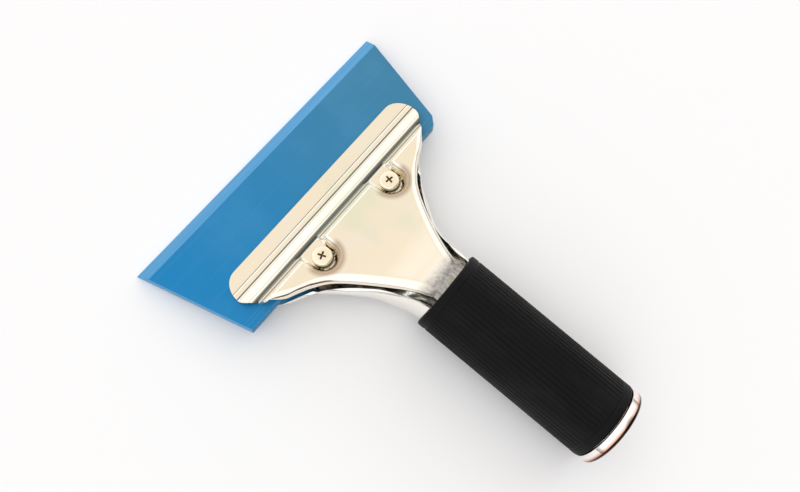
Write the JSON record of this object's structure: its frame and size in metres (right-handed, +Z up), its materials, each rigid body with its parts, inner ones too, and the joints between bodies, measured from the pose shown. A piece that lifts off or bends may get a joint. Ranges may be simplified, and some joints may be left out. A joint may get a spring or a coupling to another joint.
{
  "type": "squeegee applicator",
  "caption": "Hand squeegee for films and vinyl: a thick bevelled rubber blade clamped between pressed steel jaws on a short tubular handle with a ribbed grip.",
  "frame": {"origin": "centre of the bounding box's base, on the surface that the object lies on", "axes": "+Y forward from the handle to the blade's edge, +X to the right, +Z up with the clamp plate on top; the jaws and the blade slope down 8 degrees towards the front"},
  "size_m": [0.13, 0.165, 0.0312],
  "materials": {
    "blade": "satin",
    "polished_steel": "polished",
    "fastener": "plated",
    "grip": "ribbed matte",
    "bright_cap": "mirror"
  },
  "bodies": {
    "handle": {"handle_body": "polished_steel", "grip_sleeve": "grip", "end_cap": "bright_cap", "nut_left": "fastener", "nut_right": "fastener"},
    "clamp": {"clamp_plate": "polished_steel"},
    "left_screw": {"screw_left": "fastener"},
    "right_screw": {"screw_right": "fastener"},
    "blade": {"blade": "blade"}
  },
  "joints": [
    {"name": "clamp_open", "type": "hinge", "parent": "handle", "child": "clamp", "pos_m": [0, -0.00562, 0.00965], "axis": [1, 0, 0], "range_deg": [0, 2.52]},
    {"name": "screw_left_turn", "type": "hinge", "parent": "clamp", "child": "left_screw", "pos_m": [-0.01925, 0.03613, 0.01307], "axis": [0, 0.1392, 0.9903], "range_deg": [0, 1080]},
    {"name": "screw_right_turn", "type": "hinge", "parent": "clamp", "child": "right_screw", "pos_m": [0.01925, 0.03613, 0.01307], "axis": [0, 0.1392, 0.9903], "range_deg": [0, 1080]},
    {"name": "blade_slide", "type": "slide", "parent": "handle", "child": "blade", "axis": [0, 0.9903, -0.1392], "range_m": [0, 0.0186]}
  ],
  "couplings": [
    {"joint": "screw_left_turn", "follows": "clamp_open", "ratio": 428.05},
    {"joint": "screw_right_turn", "follows": "clamp_open", "ratio": 428.05}
  ]
}
